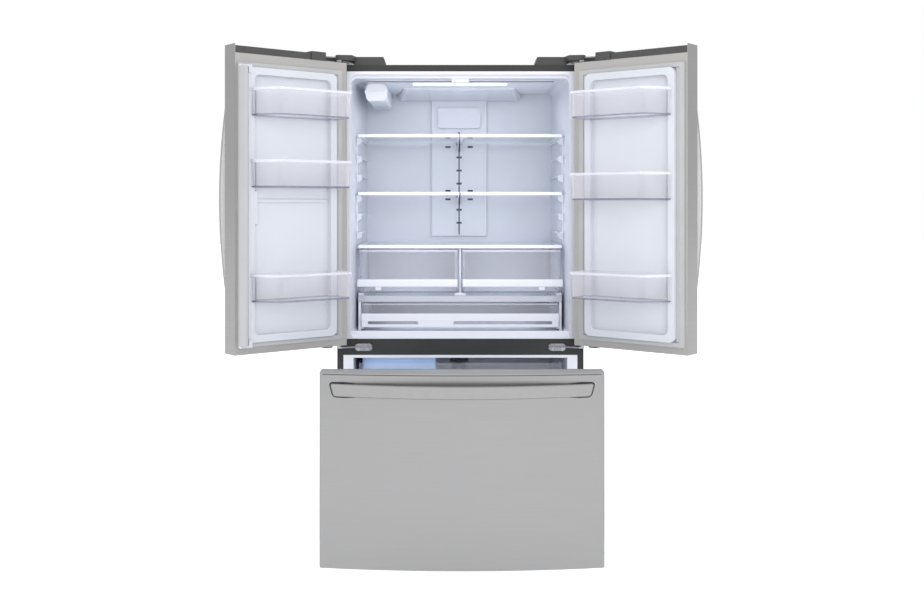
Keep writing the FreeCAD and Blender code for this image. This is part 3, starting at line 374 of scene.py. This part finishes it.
def piece(form, name, body, materials, replaces=(), bevel=0.0, segments=2):
    """Turns a form into a named piece that rides on a body."""
    mesh = bpy.data.meshes.new(name)
    mesh.from_pydata(form.points, [], form.faces)
    obj = bpy.data.objects.new(name, mesh)
    bpy.context.scene.collection.objects.link(obj)
    for key in materials:
        mesh.materials.append(MATERIALS[key])
    mesh.polygons.foreach_set("material_index", form.slots)
    work = bmesh.new()
    work.from_mesh(mesh)
    bmesh.ops.remove_doubles(work, verts=work.verts, dist=1e-6)
    bmesh.ops.dissolve_degenerate(work, edges=work.edges, dist=1e-6)
    bmesh.ops.recalc_face_normals(work, faces=work.faces)
    work.to_mesh(mesh)
    work.free()
    mesh.shade_smooth()
    mesh.set_sharp_from_angle(angle=SHARP)
    if bevel:
        soften(obj, bevel, segments)
    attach(obj, body)
    if replaces:
        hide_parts(*replaces)


# Studio: a white room, and a floor that glows to the same white

FLOOR_HALF = 30.0
COOL = (0.88, 0.90, 1.0)

scene = bpy.context.scene
scene.view_settings.view_transform = "Standard"
scene.view_settings.look = "None"

world = bpy.data.worlds.new("studio")
world.use_nodes = True
world.node_tree.nodes["Background"].inputs["Color"].default_value = (1, 1, 1, 1)
world.node_tree.nodes["Background"].inputs["Strength"].default_value = 1.0
scene.world = world

floor_mesh = bpy.data.meshes.new("floor")
floor_span = (-FLOOR_HALF, FLOOR_HALF)
floor_mesh.from_pydata([(x, y, 0) for x, y in rectangle(floor_span, floor_span)], [], [range(4)])
floor = bpy.data.objects.new("floor", floor_mesh)
scene.collection.objects.link(floor)
floor_finish = Finish("studio_floor", 0.7, specular=0.1)
floor_finish.colour(floor_finish.noise((2, 2, 2)), (0.86, 0.86, 0.86), (0.88, 0.88, 0.88))
floor_finish.gloss(floor_finish.noise((30, 30, 30)), 0.03)
floor_finish.shader.inputs["Emission Color"].default_value = (1, 1, 1, 1)
floor_finish.shader.inputs["Emission Strength"].default_value = 0.52
floor_mesh.materials.append(floor_finish.material)


def area_light(name, location, aim, size, power, colour=(1, 1, 1)):
    """A light in metres and watts, seen neither directly nor in reflections."""
    light = bpy.data.lights.new(name, "AREA")
    light.shape = "RECTANGLE"
    light.size, light.size_y = size
    light.energy = power
    light.color = colour
    obj = bpy.data.objects.new(name, light)
    obj.location = location
    direction = Vector(aim) - Vector(location)
    obj.rotation_euler = direction.to_track_quat("-Z", "Y").to_euler()
    obj.visible_camera = False
    obj.visible_glossy = False
    scene.collection.objects.link(obj)


lens_low, lens_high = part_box("light_lens")
lens_mid = (lens_low + lens_high) / 2
area_light("soft_front", (0.5, -4.5, 2.6), (0, 0, 0.9), (3.0, 2.0), 60)
area_light(
    "ceiling_light", (lens_mid.x, lens_mid.y, lens_low.z - 0.004),
    (lens_mid.x, lens_mid.y + 0.12, lens_low.z - 1), (0.35, 0.02), 0.6, (0.90, 0.92, 1.0),
)
area_light("cavity_fill", place(0, -60, 1400), place(0, -500, 1250), (0.7, 0.5), 0.45, COOL)

for name, middle, aim, size, power in (  # middle and aim as in place()
    ("left_crisper_light", (-197, -330, 1030), (-197, -380, 900), (0.28, 0.25), 0.35),
    ("right_crisper_light", (197, -330, 1030), (197, -380, 900), (0.28, 0.25), 0.35),
    ("pantry_light", (0, -330, 843), (0, -380, 760), (0.6, 0.3), 0.6),
    ("freezer_light", (0, -30, 655), (0, -200, 560), (0.7, 0.1), 0.15),
    ("low_fill", (0, -20, 1190), (0, -500, 1080), (0.6, 0.1), 0.5),
):
    area_light(name, place(*middle), place(*aim), size, power, COOL)

camera_data = bpy.data.cameras.new("camera")
camera = bpy.data.objects.new("camera", camera_data)
# Fitted to the corners of the case and of the open doors in the photo.
camera.location = (-0.038, -4.079, 1.2195)
camera.rotation_euler = (math.radians(90), 0, 0)
camera_data.sensor_width = 36
camera_data.lens = 42.58
camera_data.shift_x = 0.0129
camera_data.shift_y = -0.1095
scene.collection.objects.link(camera)
scene.camera = camera

# Doors, turned open about their pins: u runs from the hinge side, v forward of the inner face

TURN = math.radians(141)
PIN_U, PIN_V = 12.5, 28.0  # the pin in door coordinates
PIN_X, PIN_D = 441.5, 38.0  # and in place()


def door(side):
    def where(u, v, z):
        x = PIN_X - math.cos(TURN) * (u - PIN_U) + math.sin(TURN) * (v - PIN_V)
        d = PIN_D + math.sin(TURN) * (u - PIN_U) + math.cos(TURN) * (v - PIN_V)
        return place(side * x, d, z)

    return where


def span(node):
    """A node's ranges across, forward and up, in millimetres of place()."""
    low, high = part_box(node)
    depth = ((FRONT - high.y) / MM, (FRONT - low.y) / MM)
    return (low.x / MM, high.x / MM), depth, (low.z / MM, high.z / MM)


def vessel(form, outline, z, wall=3.0, rim=1.5, foot=5.0, lip=9.0):
    """An open bin: rounded foot, slightly drafted wall, rolled rim. Slots: wall, foot, rim."""
    low, high = z
    levels = [(foot, low, 1), (2.4, low + 1.2, 1), (1.4, low + 4.5, 0), (1.0, low + 9, 0)]
    levels += [(0.2, high - lip, 2), (-rim, high - lip + 1.5, 2), (-rim, high - 1, 2)]
    levels += [(0.8 - rim, high, 2), (wall - 0.8, high, 2), (wall, high - 1, 0)]
    levels += [(wall + 1, low + 11, 0), (wall + 2, low + 6, 1), (wall + foot, low + 4, 0)]
    rings = [form.ring([(a, b, level) for a, b in inset(outline, by)]) for by, level, _ in levels]
    for one, two, (_, _, slot) in zip(rings, rings[1:], levels):
        form.slot = slot
        form.skin(one, two)
    form.slot = 0
    form.face(rings[0][::-1])
    form.face(rings[-1])


def strap(form, half, reach, ends, width, thick, swell=0.0, slant=0.0, corner=7.0, bevel=2.5):
    """A bowed handle along a, standing reach out at its middle and ends at its ends. Its back
    is in the form's slot 1, so that it can have its own finish."""
    steps = [0, 0.5, 1.5, bevel, 4, corner, 12, 20]
    steps = steps + [20 + (half - 20) * i / 22 for i in range(1, 23)]
    stations = [(-1, e) for e in steps] + [(1, e) for e in steps[-2::-1]]
    rings = []
    for sign, e in stations:
        cut = corner - math.sqrt(max(0, corner ** 2 - max(0, corner - e) ** 2))
        low, high = width[0] + cut, width[1] - cut
        drop = max(0, bevel - e)
        ring = []
        for w, depth in ((low, thick), (low, bevel + drop), (low + bevel, drop),
                         (high - bevel, drop), (high, bevel + drop), (high, thick)):
            a = sign * (half - e - slant * (width[1] - w) / (width[1] - width[0]))
            if e >= half:
                a = 0
            share = (a / half) ** 2
            out = reach - (reach - ends) * share
            back = depth + swell * share if depth == thick else depth
            ring.append((a, out - back, w))
        rings.append(ring)
    start = len(form.slots)
    form.stack(rings)
    side_count = len(rings[0])
    last = side_count - 1  # the side from the last point of a ring to its first is the back
    for index in range(start + last, start + side_count * (len(rings) - 1), side_count):
        form.slots[index] = 1


HANDLE_Z = (805.0, 1677.0)
HANDLE_MID = sum(HANDLE_Z) / 2
HANDLE_HALF = (HANDLE_Z[1] - HANDLE_Z[0]) / 2
HANDLE_OUT = (164.9, 84)  # forward of the inner face, at the middle and at the ends
HANDLE_U = (387, 427)
HANDLE_THICK = 13
BIN_OUTLINE = round_corners(
    [(81.5, 0.5), (81.5, 22.5), (57, 22.5), (57, 125), (348, 125), (403, 34), (403, 22.5),
     (387.5, 22.5), (387.5, 0.5)],
    [0, 0, 3, 24, 36, 14, 3, 0, 0],
)
BIN_LOWS = {"left": (1524, 1280, 891), "right": (1526, 1238, 891)}
BIN_HEIGHT = 95.0
GASKET_Z = (754, 1688.5)
FIN_U = ((42.5, 57.2), (411.8, 425.5))  # the gasket's upright runs

for side, sign in SIDES.items():
    at = door(sign)
    form = Form(lambda a, out, w: at(w, out, HANDLE_MID + a))
    strap(form, HANDLE_HALF, *HANDLE_OUT, HANDLE_U, HANDLE_THICK)
    piece(form, side + "_handle_strap", side + "_door",
          ["handle_metal", "handle_back_painted_reflection"], [side + "_door_handle"])

    bins = Form(lambda u, p, z: at(u, -p, z))
    for low in BIN_LOWS[side]:
        vessel(bins, BIN_OUTLINE, (low, low + BIN_HEIGHT))
        grip = [(62, 124), (343, 124), (341, 129), (64, 129)]
        bins.slot = 2
        bins.stack([[(u, p, z) for u, p in grip] for z in (low + 86, low + BIN_HEIGHT - 0.5)])
    piece(bins, side + "_clear_bins", side + "_door",
          ["clear_plastic", "violet_edge", "clear_rim"], [side + "_door_bins"])

    fins = Form(lambda u, p, z: at(u, -p, z))
    for width in FIN_U:
        fins.box(width, (0.5, 8), GASKET_Z)
    piece(fins, side + "_gasket_fins", side + "_door", ["gasket_rubber"],
          bevel=1.5)

# Freezer drawer: its front is an arc across, and so is its handle

DRAWER_OUT = 467.0
DRAWER_FRONT = 123  # the steel front's middle, forward of the case when the drawer is shut
DRAWER_HALF = 454
DRAWER_BOW = 33.3  # how far the front's ends lie behind its middle
GRIP_OUT = 167.9  # the same measures for the handle
GRIP_HALF = 419
GRIP_BOW = 66
GRIP_Z = (615, 655)
GRIP_SLANT = 11
SURROUND = 4  # how far the black surround shows above and below the handle
SURROUND_CORNER = 12
# where the dark strip under the drawer's cap runs: a painted shadow gap
SHADOW_GAP_HALF, SHADOW_GAP_STEPS = 443, 60
SHADOW_GAP_Z = (681.5, 683.8)

reach = GRIP_OUT + DRAWER_OUT
form = Form()
strap(form, GRIP_HALF, reach, reach - GRIP_BOW, GRIP_Z, HANDLE_THICK,
      swell=2, slant=GRIP_SLANT, corner=8)
piece(form, "drawer_handle_strap", "freezer_drawer",
      ["handle_metal", "handle_back_painted_reflection"], ["freezer_front_handle"])


def drawer_face(x):
    """How far forward the drawer's steel front stands at x."""
    return DRAWER_OUT + DRAWER_FRONT - DRAWER_BOW * (x / DRAWER_HALF) ** 2


surround = Form()
for sign in SIDES.values():
    rings = []
    for e in (-SURROUND, -3.5, -2, 0, 4, 8, 20, 40, 60, 80):
        past = max(0, SURROUND_CORNER - SURROUND - e)
        cut = SURROUND_CORNER - math.sqrt(SURROUND_CORNER ** 2 - past ** 2)
        low, high = GRIP_Z[0] - SURROUND + cut, GRIP_Z[1] + SURROUND - cut
        grow = max(0, (e - 40) * 0.1)
        ring = []
        for w, deep in ((low + grow, 1), (low + grow, 0), (high - grow, 0), (high - grow, 1)):
            x = GRIP_HALF - e - GRIP_SLANT * (GRIP_Z[1] - w) / (GRIP_Z[1] - GRIP_Z[0])
            out = reach - GRIP_BOW * (x / GRIP_HALF) ** 2 - 6
            ring.append((sign * x, drawer_face(x) - 1 if deep else out, w))
        rings.append(ring)
    surround.stack(rings)
piece(surround, "handle_surround", "freezer_drawer", ["black_metal"], bevel=0.8)

# A dark strip along the top of the drawer front, just under its cap: painted shadow in the gap
# there
cap_shadow_gap = Form()
rings = []
for i in range(SHADOW_GAP_STEPS + 1):
    x = -SHADOW_GAP_HALF + 2 * SHADOW_GAP_HALF * i / SHADOW_GAP_STEPS
    out = drawer_face(x)
    rings.append([(x, d, z) for d, z in rectangle((out - 2, out + 0.5), SHADOW_GAP_Z)])
cap_shadow_gap.stack(rings)
piece(cap_shadow_gap, "drawer_cap_shadow_gap", "freezer_drawer", ["dark_trim"])

# Crispers and pantry drawer

for side, sign in SIDES.items():
    x, depth, z = span("crisper_" + side)
    outline = round_corners(rectangle(x, depth), [12, 12, 24, 24])
    form = Form()
    vessel(form, outline, z, rim=0, foot=8, lip=7)
    piece(form, side + "_crisper_box", "crisper_" + side,
          ["tray_plastic", "violet_edge", "clear_rim"], ["crisper_" + side])

x, depth, z = span("pantry_drawer")
outline = round_corners(rectangle(x, depth), [12, 12, 18, 18])
form = Form()
vessel(form, outline, z, rim=0, foot=6, lip=5)
piece(form, "pantry_box", "pantry_drawer",
      ["tray_plastic", "violet_edge", "clear_rim"], ["pantry_drawer"])

x, depth, z = span("pantry_drawer_front")
form = Form()
form.box(x, depth, (z[0] + 23, z[0] + 52))
form.box((x[0] + 1, x[1] - 1), (depth[0], depth[1] - 1), (z[0], z[0] + 11))
# The strip's two windows lie between these posts; the middle one widens upward by flare.
for one, two, flare in ((x[0] + 1, x[0] + 26, 0), (-158, -27, 5), (x[1] - 26, x[1] - 1, 0)):
    form.stack([
        [(a, d, z[0] + up) for a, d in rectangle((one - by, two + by), (depth[0], depth[1] - 1.5))]
        for by, up in ((0, 10), (flare, 24))
    ])
piece(form, "pantry_front_strip", "pantry_drawer", ["trim_white"],
      ["pantry_drawer_front"], bevel=1.8, segments=3)

# Solids lifted out of CAD nodes, to finish each in its own material


def lift(node, name, body, key, test, bevel=0.0, facing=None):
    """Copies the solids of a node whose box (low, high) passes the test into one piece.
    facing is (direction, key): faces that look that way take this other finish."""
    work = bmesh.new()
    work.from_mesh(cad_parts[node].data)
    bmesh.ops.remove_doubles(work, verts=work.verts, dist=1e-6)
    seen, drop = set(), []
    for vert in work.verts:
        if vert in seen:
            continue
        seen.add(vert)
        island = [vert]
        for v in island:
            for edge in v.link_edges:
                other = edge.other_vert(v)
                if other not in seen:
                    seen.add(other)
                    island.append(other)
        low = [min(v.co[i] for v in island) / MM for i in range(3)]
        high = [max(v.co[i] for v in island) / MM for i in range(3)]
        if not test(low, high):
            drop += island
    bmesh.ops.delete(work, geom=drop, context="VERTS")
    bmesh.ops.dissolve_limit(work, angle_limit=0.002, verts=work.verts, edges=work.edges)
    mesh = bpy.data.meshes.new(name)
    work.to_mesh(mesh)
    work.free()
    mesh.materials.append(MATERIALS[key])
    if facing:
        mesh.materials.append(MATERIALS[facing[1]])
        for face in mesh.polygons:
            face.material_index = int(face.normal.dot(facing[0]) > 0.95)
    mesh.shade_smooth()
    mesh.set_sharp_from_angle(angle=SHARP)
    obj = bpy.data.objects.new(name, mesh)
    scene.collection.objects.link(obj)
    if bevel:
        soften(obj, bevel)
    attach(obj, body)
    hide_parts(node)


def is_lid(low, high):
    """The wide flat solids of the crisper frame, above the pantry drawer."""
    return 840 < low[2] and high[2] < 876.5 and high[0] - low[0] > 600


lift("crisper_frame", "crisper_rails", "cabinet", "trim_white",
     lambda low, high: not is_lid(low, high), 1.2)
lift("crisper_frame", "pantry_lid", "cabinet", "lid_plastic", is_lid, 1.0)

for side, sign in SIDES.items():
    at = door(sign)
    inward = (at(200, -10, 0) - at(200, 0, 0)).normalized()
    lift(side + "_door_skin", side + "_door_wrap", side + "_door", "stainless",
         lambda low, high: True, facing=(inward, "band_steel"))

# Cold air slots, shelf ladder and wall lugs

SHELF_TOPS = (1490.5, 1270)
DUCT_FRONT = -584
LADDER_Z, LADDER_PITCH, LADDER_STEPS = 1095, 55, 8
LUG_PITCH, LUG_ROWS = 71, 3
LUG_WALL, LUG_TIP = 397, 377  # how far to either side a lug starts and ends

# Dark pads at the bottom of the cold air slots: painted shade for the depth of the slots
form = Form()
for top in SHELF_TOPS:
    for z in (top + 7, top - 29):
        for middle in (-47, 47):
            form.box((middle - 11.5, middle + 11.5), (DUCT_FRONT - 11, DUCT_FRONT - 8),
                     (z - 0.5, z + 8.5))
# a dark plate behind the ladder: painted shade in the gap behind its faces
form.box((-11, 11), (-579.4, -578.7), (1096, 1528))  # the dark plate behind the ladder
form.box((-352, 352), (-88.4, -86.6), (1683.2, 1686))  # the seam across the ceiling
piece(form, "cold_air_slot_shade", "cabinet", ["painted_gap_shade"])

form = Form()
for sign in SIDES.values():
    for step in range(LADDER_STEPS):
        z = LADDER_Z + LADDER_PITCH * step
        form.box(sorted((sign * 2.6, sign * 11.5)), (-579.2, -576.4), (z, z + 47))
piece(form, "ladder_faces", "cabinet", ["trim_white"], bevel=0.7)

form = Form()
for top in SHELF_TOPS:
    for sign in SIDES.values():
        form.box(sorted((sign * 393, sign * 399)), (-202, -166), (top - 190, top - 10))
        for row in range(LUG_ROWS):
            z = top - 12 - LUG_PITCH * row
            at_wall = [(-148, z + 3), (-220, z + 3), (-202, z - 31), (-164, z - 31)]
            tip = [(-164, z - 2), (-204, z - 2), (-192, z - 19), (-174, z - 19)]
            form.stack([
                [(sign * LUG_WALL, d, level) for d, level in at_wall],
                [(sign * LUG_TIP, d, level) for d, level in tip],
            ])
piece(form, "shelf_lugs", "cabinet", ["lug_plastic"], bevel=1.5, segments=3)

# Air duct along the ceiling, and the ribs of the left door's liner

DUCT_D = (-310, -579)  # its front and rear

form = Form()
wide = [(-222, DUCT_D[0]), (222, DUCT_D[0]), (258, DUCT_D[1]), (-258, DUCT_D[1])]
rings = []
for by, front_z, rear_z in ((0, 1686, 1686), (0, 1683, 1672), (9, 1680, 1657), (24, 1680, 1657),
                            (30, 1683, 1661), (33, 1683, 1661)):
    rings.append([
        (x, d, front_z + (rear_z - front_z) * (DUCT_D[0] - d) / (DUCT_D[0] - DUCT_D[1]))
        for x, d in inset(wide, by)
    ])
form.stack(rings)
piece(form, "ceiling_duct", "cabinet", ["liner_white"], bevel=1.5)

at = door(-1)
form = Form(lambda u, p, z: at(u, -p, z))
# the ridge across the liner
form.stack([[(84, 0, 1226), (384, 0, 1226), (384, 5, 1231), (84, 5, 1231)],
            [(84, 0, 1244), (384, 0, 1244), (384, 5, 1239), (84, 5, 1239)]])
# the upright lug at its free edge
form.stack([
    [(u, p, end + (taper if p else 0)) for u, p in ((371, 0), (388, 0), (388, 19), (375, 19))]
    for end, taper in ((1150, 5), (1273, -5))
])
piece(form, "left_liner_ribs", "left_door", ["door_liner_painted_shade"], bevel=2.0, segments=3)

bpy.context.view_layer.update()
